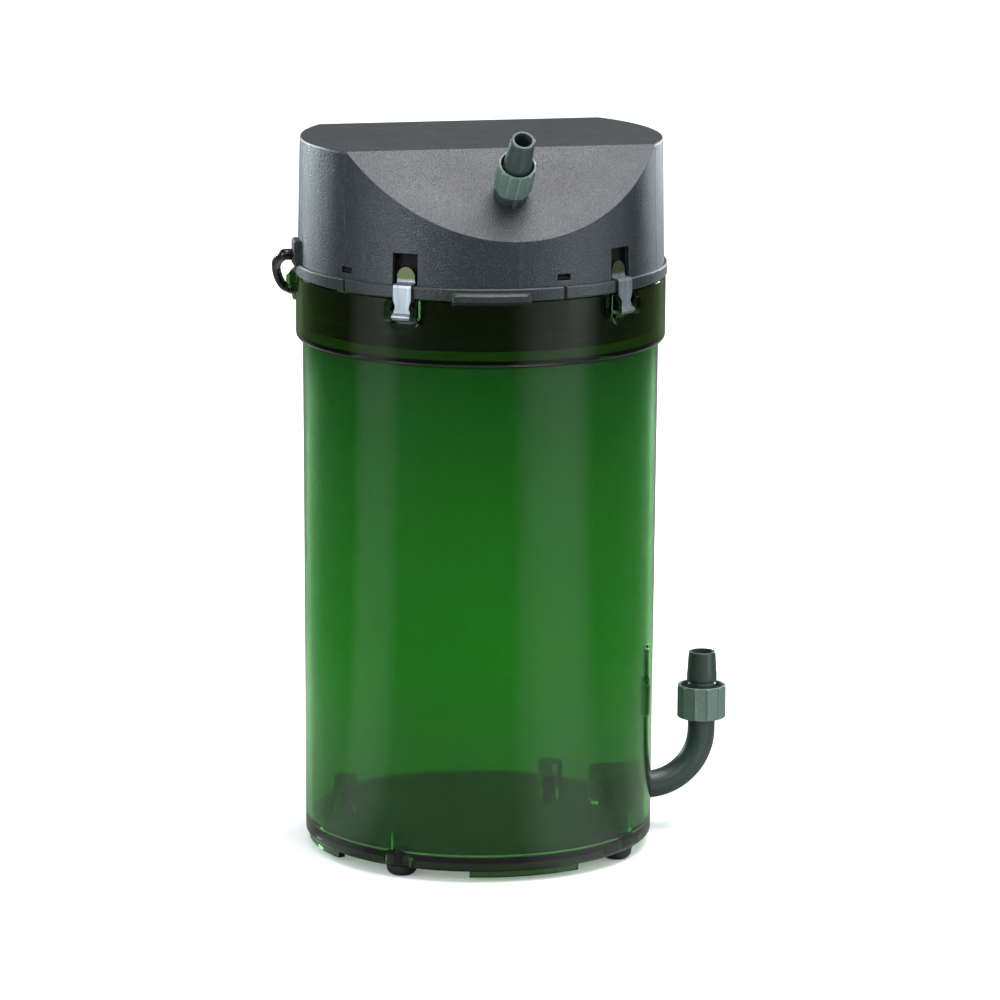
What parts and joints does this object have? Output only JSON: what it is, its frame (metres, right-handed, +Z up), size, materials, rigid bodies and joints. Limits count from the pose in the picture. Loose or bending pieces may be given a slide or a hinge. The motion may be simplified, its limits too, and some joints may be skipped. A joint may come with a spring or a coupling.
{
  "type": "canister filter",
  "caption": "Pond and aquarium canister filter: green see-through canister, clipped pump head with a slanted outlet face, hose nozzles with nuts, mains lead with a plug.",
  "frame": {"origin": "centre of the base on the canister's axis, at the level the feet stand on", "axes": "+Z up along the canister's axis, -Y to the front with the slanted outlet face, +X to the side with the hose inlet"},
  "size_m": [0.2565, 0.2427, 0.4156],
  "materials": {
    "green_clear": "gloss",
    "rubber": "matte",
    "steel": "satin",
    "clip_steel": "polished",
    "base_plastic": "satin",
    "cover_plastic": "satin",
    "ceramic": "gloss",
    "ferrite": "matte",
    "white_plastic": "satin",
    "laminations": "satin",
    "copper": "satin",
    "nozzle_plastic": "satin",
    "nut_plastic": "satin",
    "lead_black": "gloss"
  },
  "bodies": {
    "filter": {"canister": "green_clear", "rubber_feet": "rubber", "clip_pins": "steel", "head_base": "base_plastic", "head_cover": "cover_plastic", "sealing_ring": "rubber", "pump_chamber": "base_plastic", "top_bush": "rubber", "rotor_shaft": "ceramic", "stator_core": "laminations", "stator_coils": "copper", "outlet_duct": "base_plastic", "outlet_nozzle": "nozzle_plastic", "cord_gland": "base_plastic", "mains_lead": "lead_black", "lead_coil": "lead_black", "plug_body": "lead_black", "plug_pins": "steel"},
    "impeller": {"impeller": "white_plastic", "rotor_magnet": "ferrite"},
    "pump_cover": {"pump_cover": "base_plastic", "cover_bush": "rubber"},
    "outlet_nut": {"outlet_nut": "nut_plastic"},
    "inlet_elbow": {"inlet_elbow": "nozzle_plastic", "inlet_rings": "rubber"},
    "inlet_nut": {"inlet_nut": "nut_plastic"},
    "clip_front_left": {"clip_front_left": "clip_steel"},
    "clip_front_right": {"clip_front_right": "clip_steel"},
    "clip_right": {"clip_right": "clip_steel"},
    "clip_rear": {"clip_rear": "clip_steel"}
  },
  "joints": [
    {"name": "clip_front_left_pivot", "type": "hinge", "parent": "filter", "child": "clip_front_left", "pos_m": [-0.06184, -0.08511, 0.3145], "axis": [0.809, -0.5878, 0], "range_deg": [0, 110]},
    {"name": "clip_front_right_pivot", "type": "hinge", "parent": "filter", "child": "clip_front_right", "pos_m": [0.06184, -0.08511, 0.3145], "axis": [0.809, 0.5878, 0], "range_deg": [0, 110]},
    {"name": "clip_right_pivot", "type": "hinge", "parent": "filter", "child": "clip_right", "pos_m": [0.10005, 0.03251, 0.3145], "axis": [-0.309, 0.9511, 0], "range_deg": [0, 110]},
    {"name": "clip_rear_pivot", "type": "hinge", "parent": "filter", "child": "clip_rear", "pos_m": [0, 0.1052, 0.3145], "axis": [-1, 0, 0], "range_deg": [0, 110]},
    {"name": "impeller_spin", "type": "hinge", "parent": "filter", "child": "impeller", "pos_m": [0, 0.01, 0.31], "axis": [0, 0, 1], "continuous": true},
    {"name": "pump_cover_twist", "type": "hinge", "parent": "filter", "child": "pump_cover", "pos_m": [0, 0.01, 0.3], "axis": [0, 0, 1], "range_deg": [-40, 0]},
    {"name": "outlet_nut_turn", "type": "hinge", "parent": "filter", "child": "outlet_nut", "pos_m": [0, -0.07549, 0.37871], "axis": [0, -0.6652, 0.7466], "continuous": true},
    {"name": "inlet_elbow_swivel", "type": "hinge", "parent": "filter", "child": "inlet_elbow", "pos_m": [0.0971, 0, 0.026], "axis": [1, 0, 0], "range_deg": [-90, 90]},
    {"name": "inlet_nut_turn", "type": "hinge", "parent": "inlet_elbow", "child": "inlet_nut", "pos_m": [0.1294, 0, 0.0736], "axis": [0, 0, 1], "continuous": true}
  ]
}
